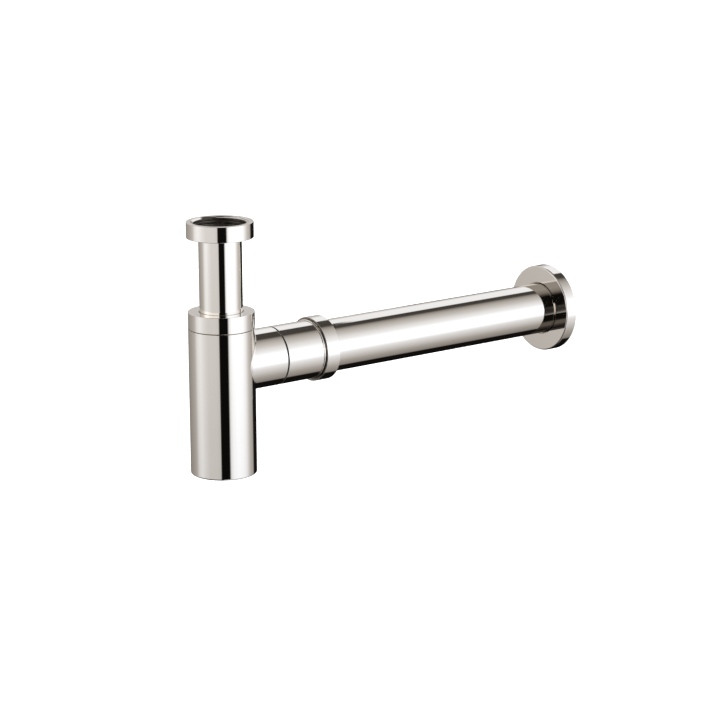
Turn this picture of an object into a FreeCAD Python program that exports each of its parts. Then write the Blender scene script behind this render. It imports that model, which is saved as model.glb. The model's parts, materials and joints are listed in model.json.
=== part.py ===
import FreeCAD, Part
import math
import os

from FreeCAD import Vector

# Bottle-type basin trap with a straight wall outlet, in millimetres.
# Origin: on the inlet axis, on the top face of the union gasket, where the
# basin waste seats. +Z runs up the inlet, +Y runs along the outlet to the wall.

# ---- driving dimensions -------------------------------------------------

# overall layout
OUTLET_DROP = 100.45        # seat of the basin waste down to the outlet axis
WALL_REACH = 317.6          # inlet axis to the wall face
BOTTLE_BELOW_OUTLET = 82.2  # outlet axis to the underside of the bottle
SEAM_ABOVE_OUTLET = 28.0    # outlet axis up to the cap seam
BRANCH_SEAM_REACH = 44.8    # inlet axis to the seam round the branch
OUTLET_NUT_REACH = 78.8     # inlet axis to the near face of the outlet nut

# tubes
INLET_TUBE_RADIUS = 16.0
INLET_TUBE_WALL = 1.0
OUTLET_PIPE_RADIUS = 20.0
OUTLET_PIPE_WALL = 1.2
BOTTLE_WALL = 1.5
BASE_THICKNESS = 2.0
PIPE_BEHIND_WALL_FACE = 8.0
PIPE_SIZED_END = 0.2        # the end behind the wall face is turned down by this

# clearances
RUNNING_CLEARANCE = 0.05    # turned faces that turn or slide on each other
SEAL_CLEARANCE = 0.08       # rubber and washers round a sliding tube
LOOSE_CLEARANCE = 0.35      # nut and flange holes round a tube
FREE_PLAY = 0.1             # parts dropped into a recess

# union nut, G 1 1/4 female thread
THREAD_LENGTH = 5.85
THREAD_MOUTH_BEVEL = 1.775  # how far the mouth opens beyond the thread's minor radius
THREAD_MOUTH_DEPTH = 1.1
UNION_NUT_FACE = 3.55       # width of the flat face round the mouth
THREAD_RELIEF = 0.8
UNION_LIP = 1.5
UNION_SEAT_WIDTH = 3.275    # how far the inlet tube's flange stands out
UNION_GASKET_THICKNESS = 1.5
UNION_FLANGE_THICKNESS = 1.2
UNION_SLIP_RING_THICKNESS = 0.5
UNION_SEAT_CLEARANCE = 0.2

# inlet tube and dip tube
INLET_TUBE_BELOW_OUTLET = 18.0
DIP_BELOW_OUTLET = 68.0
DIP_WALL = 1.8
DIP_CLEARANCE = 0.5
DIP_FLANGE_THICKNESS = 1.5
DIP_FLANGE_WIDTH = 2.6
DIP_GASKET_THICKNESS = 1.0

# cap nut and the neck that it screws on
CAP_WALL = 2.55
CAP_STEP_IN = 0.1           # the cap is this much slimmer than the bottle
CAP_HEIGHT = 12.5
CAP_LIP = 3.0
NECK_RIM = 1.0
NECK_DEPTH = 4.0
NECK_SKIRT = 8.0
NECK_CLEARANCE = 0.3
CAP_SEAM_GAP = 0.35
CAP_SEAL_HEIGHT = 3.5
CAP_SEAL_TAPER = 1.3

# branch joint
SADDLE_MARGIN = 2.4         # the bottle's radius exceeds the branch's by at least this
SLEEVE_WALL = 2.05
STUB_WALL = 2.1
SPIGOT_WALL = 2.6
BRANCH_SEAM_WIDTH = 1.0
BRANCH_GASKET_RECESS = 0.45
SPIGOT_LENGTH = 12.0
BRANCH_O_RING_SECTION = 1.5
BRANCH_O_RING_SETBACK = 6.0  # spigot's end to the middle of its O-ring
PIPE_STOP_DEPTH = 6.0        # branch seam to the shoulder that stops the pipe
PIPE_TRAVEL_IN = 16.0        # gap left between that shoulder and the pipe

# outlet nut and its seal
OUTLET_NUT_WALL = 2.25
OUTLET_NUT_WIDTH = 11.8
OUTLET_LIP = 3.0
OUTLET_NUT_LEAD = 0.6
OUTLET_SEAL_PROUD = 1.6
OUTLET_SEAT_DEPTH = 3.5
OUTLET_SEAT_RIM = 0.55
OUTLET_SEAL_NOSE = 2.8      # how far the seal reaches into the tapered seat
WASHER_THICKNESS = 1.0

# wall flange
FLANGE_RADIUS = 34.45
FLANGE_THICKNESS = 9.8
FLANGE_FRONT_WALL = 2.5
FLANGE_RIM_WALL = 2.2
FLANGE_HUB_WALL = 3.85
FLANGE_BORE_BEVEL = 0.9
FLANGE_EDGE_ROUND = 1.0
FLANGE_O_RING_SECTION = 1.8

# grooves and edges
GROOVE_SIDE_ROOM = 0.3      # a groove is this much wider than its ring
EDGE = 0.4                  # rounding of the turned nuts
SMALL_EDGE = 0.25
BOTTLE_FOOT_ROUND = 1.0

# ---- places worked out from them ----------------------------------------

outlet_z = -OUTLET_DROP

union_top = THREAD_LENGTH + THREAD_MOUTH_DEPTH
gasket_bottom = -UNION_GASKET_THICKNESS
tube_flange_bottom = gasket_bottom - UNION_FLANGE_THICKNESS
slip_ring_bottom = tube_flange_bottom - UNION_SLIP_RING_THICKNESS
union_bottom = slip_ring_bottom - UNION_LIP
union_seat_radius = INLET_TUBE_RADIUS + UNION_SEAT_WIDTH
thread_minor_radius = union_seat_radius + UNION_SEAT_CLEARANCE
thread_mouth_radius = thread_minor_radius + THREAD_MOUTH_BEVEL
union_nut_radius = thread_mouth_radius + UNION_NUT_FACE
inlet_tube_bore = INLET_TUBE_RADIUS - INLET_TUBE_WALL
inlet_tube_end = outlet_z - INLET_TUBE_BELOW_OUTLET
inlet_hole = INLET_TUBE_RADIUS + LOOSE_CLEARANCE
inlet_seal_bore = INLET_TUBE_RADIUS + SEAL_CLEARANCE

sleeve_bore = OUTLET_PIPE_RADIUS + FREE_PLAY
branch_radius = sleeve_bore + SLEEVE_WALL
stub_bore = branch_radius - STUB_WALL
spigot_radius = stub_bore - RUNNING_CLEARANCE
spigot_bore = spigot_radius - SPIGOT_WALL

dip_bore = INLET_TUBE_RADIUS + DIP_CLEARANCE
dip_radius = dip_bore + DIP_WALL
neck_bore = dip_radius + NECK_CLEARANCE
neck_insert_radius = dip_radius + DIP_FLANGE_WIDTH
neck_recess_radius = neck_insert_radius + FREE_PLAY
neck_radius = neck_recess_radius + NECK_RIM
cap_bore = neck_radius + RUNNING_CLEARANCE
cap_radius = max(cap_bore + CAP_WALL, branch_radius + SADDLE_MARGIN)
bottle_radius = cap_radius + CAP_STEP_IN
bottle_bore = bottle_radius - BOTTLE_WALL

cap_seam = outlet_z + SEAM_ABOVE_OUTLET
cap_bottom = cap_seam + CAP_SEAM_GAP / 2
shell_top = cap_seam - CAP_SEAM_GAP / 2
cap_top = cap_seam + CAP_HEIGHT
cap_lip_bottom = cap_top - CAP_LIP
cap_seal_top = cap_lip_bottom - WASHER_THICKNESS
cap_seal_bottom = cap_seal_top - CAP_SEAL_HEIGHT
dip_flange_bottom = cap_seal_bottom - DIP_FLANGE_THICKNESS
neck_ledge = dip_flange_bottom - DIP_GASKET_THICKNESS
neck_top = neck_ledge + NECK_DEPTH
neck_bottom = shell_top - NECK_SKIRT
bottle_bottom = outlet_z - BOTTLE_BELOW_OUTLET
dip_end = outlet_z - DIP_BELOW_OUTLET

stub_end = BRANCH_SEAM_REACH - BRANCH_SEAM_WIDTH / 2
sleeve_start = BRANCH_SEAM_REACH + BRANCH_SEAM_WIDTH / 2
spigot_end = sleeve_start - SPIGOT_LENGTH
pipe_stop = sleeve_start + PIPE_STOP_DEPTH
outlet_nut_end = OUTLET_NUT_REACH + OUTLET_NUT_WIDTH
outlet_lip_face = outlet_nut_end - OUTLET_LIP
outlet_seal_end = outlet_lip_face - WASHER_THICKNESS
sleeve_end = outlet_seal_end - OUTLET_SEAL_PROUD
outlet_nut_bore = branch_radius + RUNNING_CLEARANCE
outlet_nut_radius = outlet_nut_bore + OUTLET_NUT_WALL
outlet_hole = OUTLET_PIPE_RADIUS + LOOSE_CLEARANCE
outlet_seal_bore = OUTLET_PIPE_RADIUS + SEAL_CLEARANCE
outlet_seat_radius = branch_radius - OUTLET_SEAT_RIM
pipe_start = pipe_stop + PIPE_TRAVEL_IN
pipe_end = WALL_REACH + PIPE_BEHIND_WALL_FACE
pipe_bore = OUTLET_PIPE_RADIUS - OUTLET_PIPE_WALL

flange_front = WALL_REACH - FLANGE_THICKNESS
flange_hub_radius = outlet_hole + FLANGE_HUB_WALL


# ---- shape helpers ------------------------------------------------------

def about_z(radius, along):
    """A profile point beside the inlet axis, at height `along`."""
    return Vector(radius, 0, along)


def about_y(radius, along):
    """A profile point above the outlet axis, `along` from the inlet axis."""
    return Vector(0, along, outlet_z + radius)


def rounded_outline(corners, place):
    """Closed wire through corners (radius, along[, rounding]).

    A corner with a rounding is cut short by rounding * tan(turn / 2) on both
    sides and bridged by a tangent arc through the point nearest the corner.
    """
    points = [place(corner[0], corner[1]) for corner in corners]
    rounds = [corner[2] if len(corner) > 2 else 0.0 for corner in corners]
    starts, ends, arcs = [], [], []
    for index, corner in enumerate(points):
        if rounds[index] == 0.0:
            starts.append(corner)
            ends.append(corner)
            arcs.append(None)
            continue
        back = (points[index - 1] - corner).normalize()
        ahead = (points[(index + 1) % len(points)] - corner).normalize()
        half_inside = back.getAngle(ahead) / 2
        cut = rounds[index] / math.tan(half_inside)
        centre_way = (back + ahead).normalize()
        nearest = rounds[index] / math.sin(half_inside) - rounds[index]
        starts.append(corner + back * cut)
        ends.append(corner + ahead * cut)
        middle = corner + centre_way * nearest
        arcs.append(Part.Arc(starts[-1], middle, ends[-1]).toShape())
    edges = []
    for index in range(len(points)):
        if arcs[index] is not None:
            edges.append(arcs[index])
        following = starts[(index + 1) % len(points)]
        edges.append(Part.LineSegment(ends[index], following).toShape())
    return Part.Wire(edges)


def turned_about_z(corners):
    """A solid turned about the inlet axis from its half section."""
    face = Part.Face(rounded_outline(corners, about_z))
    return face.revolve(Vector(0, 0, 0), Vector(0, 0, 1), 360)


def turned_about_y(corners):
    """A solid turned about the outlet axis from its half section."""
    face = Part.Face(rounded_outline(corners, about_y))
    return face.revolve(Vector(0, 0, outlet_z), Vector(0, 1, 0), 360)


def box_section(inner, outer, start, end, edge=0.0):
    """Half section of a plain ring; `edge` rounds its two outer corners."""
    rounding = (edge,) if edge else ()
    return [(inner, start), (outer, start) + rounding, (outer, end) + rounding, (inner, end)]


def o_ring(middle_radius, section, along):
    """A round-section rubber ring about the outlet axis."""
    return Part.makeTorus(middle_radius, section / 2, Vector(0, along, outlet_z), Vector(0, 1, 0))


def rod_along_y(radius, start, end):
    """A plain cylinder on the outlet axis."""
    return Part.makeCylinder(radius, end - start, Vector(0, start, outlet_z), Vector(0, 1, 0))


# ---- inlet side ---------------------------------------------------------

def union_nut():
    """Captive nut: mouth bevel, thread bore, relief and the lip under the tube's flange."""
    relief = thread_minor_radius + THREAD_RELIEF
    return turned_about_z([
        (inlet_hole, union_bottom, SMALL_EDGE),
        (union_nut_radius, union_bottom, EDGE),
        (union_nut_radius, union_top, EDGE),
        (thread_mouth_radius, union_top),
        (thread_minor_radius, THREAD_LENGTH),
        (thread_minor_radius, 0.0),
        (relief, 0.0),
        (relief, slip_ring_bottom),
        (inlet_hole, slip_ring_bottom),
    ])


def union_slip_ring():
    """Thin washer that lets the nut turn under the tube's flange."""
    return turned_about_z(box_section(inlet_hole, union_seat_radius, slip_ring_bottom, tube_flange_bottom))


def union_gasket():
    """Flat rubber ring between the tube's flange and the basin waste."""
    return turned_about_z(box_section(inlet_tube_bore, union_seat_radius, gasket_bottom, 0.0))


def inlet_tube():
    """Thin tube with a flange turned out at its top."""
    return turned_about_z([
        (inlet_tube_bore, inlet_tube_end),
        (INLET_TUBE_RADIUS, inlet_tube_end, SMALL_EDGE),
        (INLET_TUBE_RADIUS, tube_flange_bottom),
        (union_seat_radius, tube_flange_bottom),
        (union_seat_radius, gasket_bottom),
        (inlet_tube_bore, gasket_bottom),
    ])


# ---- cap joint ----------------------------------------------------------

def cap_nut():
    """Nut that closes the bottle and grips the inlet tube through its seal."""
    return turned_about_z([
        (cap_bore, cap_bottom),
        (cap_radius, cap_bottom, SMALL_EDGE),
        (cap_radius, cap_top, EDGE),
        (inlet_hole, cap_top, SMALL_EDGE),
        (inlet_hole, cap_lip_bottom),
        (cap_bore, cap_lip_bottom),
    ])


def cap_friction_ring():
    """Washer between the cap's lip and the seal, so the seal isn't twisted."""
    return turned_about_z(
        box_section(inlet_seal_bore, neck_insert_radius, cap_seal_top, cap_lip_bottom))


def cap_seal():
    """Rubber ring with a tapered shoulder that grips the inlet tube."""
    return turned_about_z([
        (inlet_seal_bore, cap_seal_bottom),
        (neck_insert_radius, cap_seal_bottom),
        (neck_insert_radius, cap_seal_top - CAP_SEAL_TAPER),
        (neck_insert_radius - CAP_SEAL_TAPER, cap_seal_top),
        (inlet_seal_bore, cap_seal_top),
    ])


def neck_ring():
    """Threaded neck brazed into the bottle, with a ledge for the dip tube."""
    return turned_about_z([
        (neck_bore, neck_bottom),
        (bottle_bore, neck_bottom),
        (bottle_bore, shell_top),
        (neck_radius, shell_top),
        (neck_radius, neck_top, SMALL_EDGE),
        (neck_recess_radius, neck_top, SMALL_EDGE),
        (neck_recess_radius, neck_ledge),
        (neck_bore, neck_ledge),
    ])


def dip_gasket():
    """Flat rubber ring under the dip tube's flange."""
    return turned_about_z(box_section(neck_bore, neck_insert_radius, neck_ledge, dip_flange_bottom))


def dip_tube():
    """Plastic tube hung in the neck; its end stays under water and holds back the air."""
    return turned_about_z([
        (dip_bore, dip_end),
        (dip_radius, dip_end, SMALL_EDGE),
        (dip_radius, dip_flange_bottom),
        (neck_insert_radius, dip_flange_bottom),
        (neck_insert_radius, cap_seal_bottom),
        (dip_bore, cap_seal_bottom),
    ])


# ---- bottle and branch --------------------------------------------------

def bottle_shell():
    """Straight tube with a rounded foot and a round hole for the branch."""
    shell = turned_about_z([
        (bottle_bore, bottle_bottom),
        (bottle_radius, bottle_bottom, BOTTLE_FOOT_ROUND),
        (bottle_radius, shell_top, SMALL_EDGE),
        (bottle_bore, shell_top),
    ])
    return shell.cut(rod_along_y(stub_bore, 0.0, 2 * bottle_radius))


def bottle_base():
    """Disc that closes the foot of the bottle, flush with it."""
    return Part.makeCylinder(bottle_bore, BASE_THICKNESS, Vector(0, 0, bottle_bottom))


def branch_stub():
    """Side tube saddled on the bottle, with the bore that takes the spigot."""
    tube = turned_about_y([
        (stub_bore, 0.0),
        (branch_radius, 0.0),
        (branch_radius, stub_end, SMALL_EDGE),
        (stub_bore, stub_end),
    ])
    height = 4 * branch_radius
    bottle = Part.makeCylinder(bottle_radius, height, Vector(0, 0, outlet_z - height / 2))
    far_half = Part.makeBox(height, height, height, Vector(-height / 2, 0, outlet_z - height / 2))
    return tube.cut(bottle).common(far_half)


def branch_gasket():
    """Dark rubber ring that shows as the seam round the branch."""
    inner = spigot_radius + FREE_PLAY
    outer = branch_radius - BRANCH_GASKET_RECESS
    return turned_about_y(box_section(inner, outer, stub_end, sleeve_start))


def branch_o_ring_radius():
    """Middle radius of the spigot's O-ring: it fills its groove up to the spigot's face."""
    return spigot_radius - RUNNING_CLEARANCE - BRANCH_O_RING_SECTION / 2


def branch_o_ring():
    """O-ring on the spigot, inside the stub."""
    return o_ring(branch_o_ring_radius(), BRANCH_O_RING_SECTION, spigot_end + BRANCH_O_RING_SETBACK)


def outlet_sleeve():
    """Sleeve: grooved spigot in the stub, stop for the pipe, and a tapered seat at its mouth."""
    groove_floor = branch_o_ring_radius() - BRANCH_O_RING_SECTION / 2 - RUNNING_CLEARANCE
    groove_half = (BRANCH_O_RING_SECTION + GROOVE_SIDE_ROOM) / 2
    groove_middle = spigot_end + BRANCH_O_RING_SETBACK
    return turned_about_y([
        (spigot_bore, spigot_end),
        (spigot_radius, spigot_end, SMALL_EDGE),
        (spigot_radius, groove_middle - groove_half),
        (groove_floor, groove_middle - groove_half),
        (groove_floor, groove_middle + groove_half),
        (spigot_radius, groove_middle + groove_half),
        (spigot_radius, sleeve_start),
        (branch_radius, sleeve_start, SMALL_EDGE),
        (branch_radius, sleeve_end, SMALL_EDGE),
        (outlet_seat_radius, sleeve_end),
        (sleeve_bore, sleeve_end - OUTLET_SEAT_DEPTH),
        (sleeve_bore, pipe_stop),
        (spigot_bore, pipe_stop),
    ])


# ---- outlet joint -------------------------------------------------------

def outlet_nut():
    """Nut that presses the seal into the sleeve's mouth and round the pipe."""
    return turned_about_y([
        (outlet_nut_bore + OUTLET_NUT_LEAD, OUTLET_NUT_REACH),
        (outlet_nut_radius, OUTLET_NUT_REACH, EDGE),
        (outlet_nut_radius, outlet_nut_end, EDGE),
        (outlet_hole, outlet_nut_end, SMALL_EDGE),
        (outlet_hole, outlet_lip_face),
        (outlet_nut_bore, outlet_lip_face),
        (outlet_nut_bore, OUTLET_NUT_REACH + OUTLET_NUT_LEAD),
    ])


def outlet_friction_ring():
    """Washer between the nut's lip and the seal."""
    outer = branch_radius - FREE_PLAY
    return turned_about_y(box_section(outlet_seal_bore, outer, outlet_seal_end, outlet_lip_face))


def outlet_seal():
    """Rubber ring whose nose follows the sleeve's tapered seat, one free play inside it."""
    taper = (outlet_seat_radius - sleeve_bore) / OUTLET_SEAT_DEPTH
    nose = sleeve_end - OUTLET_SEAL_NOSE
    nose_radius = outlet_seat_radius - FREE_PLAY - OUTLET_SEAL_NOSE * taper
    return turned_about_y([
        (outlet_seal_bore, nose),
        (nose_radius, nose),
        (outlet_seat_radius - FREE_PLAY, sleeve_end),
        (outlet_seat_radius - FREE_PLAY, outlet_seal_end),
        (outlet_seal_bore, outlet_seal_end),
    ])


def outlet_pipe():
    """Straight pipe from inside the sleeve to its sized end just behind the wall face."""
    sized_radius = OUTLET_PIPE_RADIUS - PIPE_SIZED_END
    return turned_about_y([
        (pipe_bore, pipe_start),
        (OUTLET_PIPE_RADIUS, pipe_start, SMALL_EDGE),
        (OUTLET_PIPE_RADIUS, WALL_REACH),
        (sized_radius, WALL_REACH),
        (sized_radius, pipe_end, SMALL_EDGE),
        (pipe_bore, pipe_end),
    ])


# ---- wall flange --------------------------------------------------------

def flange_o_ring_radius():
    """Middle radius of the flange's O-ring: its inside runs on the pipe."""
    return outlet_seal_bore + FLANGE_O_RING_SECTION / 2


def flange_o_ring():
    """O-ring that grips the pipe and keeps the flange against the wall."""
    return o_ring(flange_o_ring_radius(), FLANGE_O_RING_SECTION, flange_front + FLANGE_THICKNESS / 2)


def wall_flange():
    """Hollow-backed round flange with a grooved hub round the pipe."""
    groove_floor = flange_o_ring_radius() + FLANGE_O_RING_SECTION / 2 + RUNNING_CLEARANCE
    groove_half = (FLANGE_O_RING_SECTION + GROOVE_SIDE_ROOM) / 2
    groove_middle = flange_front + FLANGE_THICKNESS / 2
    rim_bore = FLANGE_RADIUS - FLANGE_RIM_WALL
    pocket_floor = flange_front + FLANGE_FRONT_WALL
    return turned_about_y([
        (outlet_hole + FLANGE_BORE_BEVEL, flange_front),
        (FLANGE_RADIUS, flange_front, FLANGE_EDGE_ROUND),
        (FLANGE_RADIUS, WALL_REACH, SMALL_EDGE),
        (rim_bore, WALL_REACH),
        (rim_bore, pocket_floor),
        (flange_hub_radius, pocket_floor),
        (flange_hub_radius, WALL_REACH),
        (outlet_hole, WALL_REACH),
        (outlet_hole, groove_middle + groove_half),
        (groove_floor, groove_middle + groove_half),
        (groove_floor, groove_middle - groove_half),
        (outlet_hole, groove_middle - groove_half),
        (outlet_hole, flange_front + FLANGE_BORE_BEVEL),
    ])


# ---- write one file per piece -------------------------------------------

PIECES = [
    union_nut, union_slip_ring, union_gasket, inlet_tube,
    cap_nut, cap_friction_ring, cap_seal, neck_ring, dip_gasket, dip_tube,
    bottle_shell, bottle_base, branch_stub, branch_gasket, branch_o_ring, outlet_sleeve,
    outlet_nut, outlet_friction_ring, outlet_seal, outlet_pipe,
    flange_o_ring, wall_flange,
]

os.makedirs("parts", exist_ok=True)
for make in PIECES:
    shape = make()
    solids = shape.Solids
    if len(solids) != 1 or not solids[0].isValid():
        raise ValueError(make.__name__ + " is not one valid solid")
    solids[0].exportStep("parts/" + make.__name__ + ".step")
    print(make.__name__, round(solids[0].Volume, 1))
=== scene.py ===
import json
import math

import bpy
import numpy as np
from mathutils import Matrix, Vector


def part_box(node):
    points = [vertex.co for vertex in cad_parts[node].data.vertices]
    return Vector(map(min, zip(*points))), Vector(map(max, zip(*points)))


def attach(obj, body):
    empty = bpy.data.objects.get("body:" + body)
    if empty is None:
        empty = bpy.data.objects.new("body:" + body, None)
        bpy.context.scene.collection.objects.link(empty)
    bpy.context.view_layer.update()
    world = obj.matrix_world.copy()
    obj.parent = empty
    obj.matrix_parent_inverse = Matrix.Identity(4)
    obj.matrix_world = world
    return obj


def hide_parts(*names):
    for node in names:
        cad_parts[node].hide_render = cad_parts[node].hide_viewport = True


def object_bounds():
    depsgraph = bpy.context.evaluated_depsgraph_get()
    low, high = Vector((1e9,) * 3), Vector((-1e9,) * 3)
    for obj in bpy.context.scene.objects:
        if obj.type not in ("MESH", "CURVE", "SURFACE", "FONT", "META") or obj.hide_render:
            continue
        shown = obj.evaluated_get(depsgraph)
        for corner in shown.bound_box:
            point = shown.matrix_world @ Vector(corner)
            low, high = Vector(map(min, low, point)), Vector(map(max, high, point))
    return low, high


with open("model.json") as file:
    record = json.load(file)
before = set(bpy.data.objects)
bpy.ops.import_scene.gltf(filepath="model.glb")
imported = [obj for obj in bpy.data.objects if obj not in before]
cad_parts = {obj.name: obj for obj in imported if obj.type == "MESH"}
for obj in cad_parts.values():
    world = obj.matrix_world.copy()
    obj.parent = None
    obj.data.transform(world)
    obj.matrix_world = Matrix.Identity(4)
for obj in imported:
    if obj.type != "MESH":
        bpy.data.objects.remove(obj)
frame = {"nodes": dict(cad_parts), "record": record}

cad_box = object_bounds()

# A basin trap of bottle type: union nut, inlet tube, cap nut, bottle, branch, outlet nut,
# straight outlet pipe and wall flange, all turned from tube and polished.
# Everything is in metres in the model's frame: +Z up the inlet, +Y along the outlet.

MM = 0.001

# ---- mesh density -------------------------------------------------------

TURN_STEPS = 256            # steps round a turned piece
ARC_STEPS = 6               # steps round a rounded edge
GUARD = 0.04 * MM           # flat runs are held flat up to this far from their ends
HAIRLINE = 0.08 * MM        # rounding left on an edge that is otherwise sharp
WINDOW_COLUMNS = 51         # columns on each side of the branch that its window takes
WINDOW_ROWS = 64            # rows of the bottle that the window takes
WINDOW_HALF_HEIGHT = 24.6 * MM
WINDOW_RINGS = 9            # rings from the window's frame to the hole, besides the hole's edge
WINDOW_LAST_RING = 0.97     # how far towards the hole the last of them lies
GUARD_SHARE = 0.3           # most of a short run that a guard point may take
ROW_CLEARANCE = 1.5         # rows stay this many guards away from a corner
BORE_SLOPE = 0.75           # how squarely a surface looks at the axis to count as a bore
SAME_PLACE = 0.01 * MM      # section points this near to a flat end lie on it
UNION_THREAD_ROWS = 64      # rows along the union nut's thread
NUT_THREAD_ROWS = 72        # rows along the other threads
SADDLE_ROWS = 4             # rows over which the branch's end straightens out
SADDLE_SHARE = 0.6          # part of the branch's length that they take

# ---- sizes that the model's boxes don't show ----------------------------

NUT_EDGE = 0.28 * MM
FINE_EDGE = 0.25 * MM
CUT_EDGE = 0.15 * MM        # cut and only deburred
BEVEL_EDGE = 0.12 * MM      # where a bevel ends
SOFT_EDGE = 0.2 * MM        # rubber, and edges turned soft
BLUNT_EDGE = 0.3 * MM       # tapers of rubber and inside corners
SEAM_EDGE = 0.12 * MM       # edges that meet in a closed seam
SEAM_RELIEF = 0.2 * MM      # how much each side of the branch's seam is eased for the rubber
TURNING_GAP = 0.03 * MM     # between the seam's rubber and the sleeve that turns beside it

INLET_RADIUS = 16.0 * MM
INLET_BORE = 15.0 * MM
INLET_FLANGE = 1.2 * MM
LOOSE_HOLE_ROUND_INLET = 16.35 * MM

UNION_PITCH = 2.309 * MM    # G 1 1/4
UNION_THREAD_DEPTH = 1.479 * MM
UNION_RELIEF = 0.8 * MM
UNION_MOUTH_BEVEL = 1.775 * MM
UNION_SEAT = -3.2 * MM
UNION_RUN_OUT = 0.4         # part of a pitch over which the thread fades at its inner end

NUT_PITCH = 2.0 * MM
NUT_THREAD_DEPTH = 0.75 * MM
CAP_RUN_OUT = 0.8 * MM      # length over which each end of a thread fades
OUTLET_RUN_OUT = 0.6 * MM
SEAL_PLAY = 0.08 * MM       # between a tapered seal and the tube through it
SEAM_RING_PLAY = 0.1 * MM   # between the seam's rubber and the spigot through it
CAP_BORE = 22.05 * MM
CAP_LIP = 3.0 * MM
NECK_RIM = 22.0 * MM
NECK_RECESS = 21.0 * MM
NECK_BORE = 18.6 * MM
NECK_DEPTH = 4.0 * MM
SEAL_TAPER = 1.3 * MM

BOTTLE_BORE = 23.2 * MM
BOTTLE_FOOT_ROUND = 1.0 * MM
STUB_BORE = 20.05 * MM
BRAZE = 0.55 * MM           # fillet of braze between the branch and the bottle
BRAZE_ROUNDING = 0.9 * BRAZE

SPIGOT_RADIUS = 20.0 * MM
SPIGOT_BORE = 17.4 * MM
O_RING_GROOVE_WIDTH = 1.8 * MM
O_RING_GROOVE_DEPTH = 1.6 * MM
SLEEVE_BORE = 20.1 * MM
PIPE_STOP = 51.3 * MM
SLEEVE_SEAT_RADIUS = 21.6 * MM
SLEEVE_SEAT_DEPTH = 3.5 * MM
SLEEVE_THREAD_LENGTH = 6.4 * MM
COLLAR_HEIGHT = 0.7 * MM    # low turned collar on the sleeve, just before the outlet nut
COLLAR_WIDTH = 0.9 * MM
COLLAR_SLOPE = 0.15 * MM
COLLAR_EDGE = 0.15 * MM
COLLAR_GAP = 0.7 * MM

OUTLET_NUT_BORE = 22.2 * MM
OUTLET_NUT_LEAD = 0.6 * MM
OUTLET_NUT_LIP = 3.0 * MM
LOOSE_HOLE_ROUND_PIPE = 20.35 * MM
OUTLET_SEAL_NOSE = 2.8 * MM

PIPE_RADIUS = 20.0 * MM
PIPE_BORE = 18.8 * MM
PIPE_SIZED_RADIUS = 19.8 * MM

FLANGE_EDGE = 1.0 * MM
FLANGE_FRONT_WALL = 2.5 * MM
FLANGE_RIM_BORE = 32.25 * MM
FLANGE_HUB = 24.2 * MM
FLANGE_HOLE_BEVEL = 0.9 * MM
FLANGE_GROOVE_RADIUS = 21.93 * MM
FLANGE_GROOVE_HALF = 1.05 * MM

# ---- studio and camera --------------------------------------------------

CAMERA_AZIMUTH = math.radians(53.241)
CAMERA_PITCH = math.radians(13.977)
CAMERA_ROLL = math.radians(-0.236)
CAMERA_DISTANCE = 1.8229
CAMERA_AIM = (0.06026, 0.08184, -0.09763)
CAMERA_LENS_MM = 123.625
CAMERA_SENSOR_MM = 36.0
CAMERA_SEES_TO = 200.0

STUDIO_TURN = math.radians(-36.8)   # the way that the studio's open front faces
STUDIO_LEVEL = 1.6
FLOOR_DROP = 2.0
FLOOR_SIZE = 80.0
FLOOR_CELLS = 8

# Brightness of the walls and flags that stand round the trap, by compass angle from the
# studio's front, positive towards the right of someone who looks at the trap from there.
WALL_LEVELS = [
    (-180, 0.16), (-144, 0.20), (-118, 0.27), (-109, 0.31), (-103, 0.335), (-98, 0.42), (-90, 0.54),
    (-76, 0.60), (-60, 0.52), (-45, 0.46), (-17, 0.45), (-7, 0.42), (-4, 0.003),
    (24, 0.003), (29, 0.60), (38, 0.74), (56, 0.80), (77, 0.76), (90, 0.67),
    (103, 0.46), (109, 0.38), (121, 0.31), (127.5, 0.23), (132, 0.006), (168, 0.006), (180, 0.05),
]
# Brightness of the panels that arch over and under the outlet pipe, by angle about its axis,
# from +X at 0 up over the top at 90.
ARCH_LEVELS = [
    (-180, 0.004), (-94, 0.004), (-89, 0.17), (-65, 0.28), (-32, 0.55),
    (-10, 0.84), (2, 0.95), (14, 0.92), (35, 0.66), (45, 0.58), (55, 0.475), (64, 0.40),
    (75, 0.31), (84, 0.20), (91, 0.045), (107, 0.035), (111, 0.66), (142, 0.66), (152, 0.60),
    (160, 0.42), (172, 0.38), (180, 0.004),
]
# Brightness of the dark side away from the wall, by the same angle as the arch: a tall
# flag with a grey top.
FLAG_LEVELS = [
    (-180, 0.03), (-125, 0.03), (-110, 0.004), (-90, 0.03), (-78, 0.09), (-64, 0.09), (-54, 0.004),
    (65, 0.004), (74, 0.07), (84, 0.17), (104, 0.26), (152, 0.26), (180, 0.03),
]
# Dim walls are warm and lit panels are cool: a colour's green and blue are its level times
# the first number plus the second times the level.
LEVEL_GREEN = (0.90, 0.19)
LEVEL_BLUE = (0.79, 0.43)

# A pair below is where a smooth step is 0 and where it is 1. It is read along the unit
# direction in which the studio is seen, or in degrees along one of the angles above.
FLAG_SIDE = (0.10, -0.25)           # along Y, from the arch to the flag
GAP_NEAR_END = (0.580, 0.576)       # along Y, where the arch's dark gap is wider
GAP_FAR_EDGE = (95, 108)            # arch angles between which the gap grows
GAP_NEAR_EDGE = (150, 125)
GAP_WIDENING = 11                   # degrees
WALL_TOP = (0.20, 0.09)             # along Z
WALL_FOOT = (-0.40, -0.31)
WALL_LEFT = (-6, -9)                # wall angles past which the front wall is taller
WALL_LEFT_TALLER = 0.14
WALL_SIDE = (0.51, 0.40)            # along Y either way, where the walls reach further down
WALL_SIDE_DEEPER = 0.35
WALL_LEAN = (-1.7, -0.51)           # radians that the walls lean by: Z times this, plus this
WALL_LIFT = (2.2, 1.57)             # how much brighter they get: Z times this, plus this
WALL_LIFT_LEAST = 0.7
WALL_LIFT_MOST = 1.7

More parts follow.
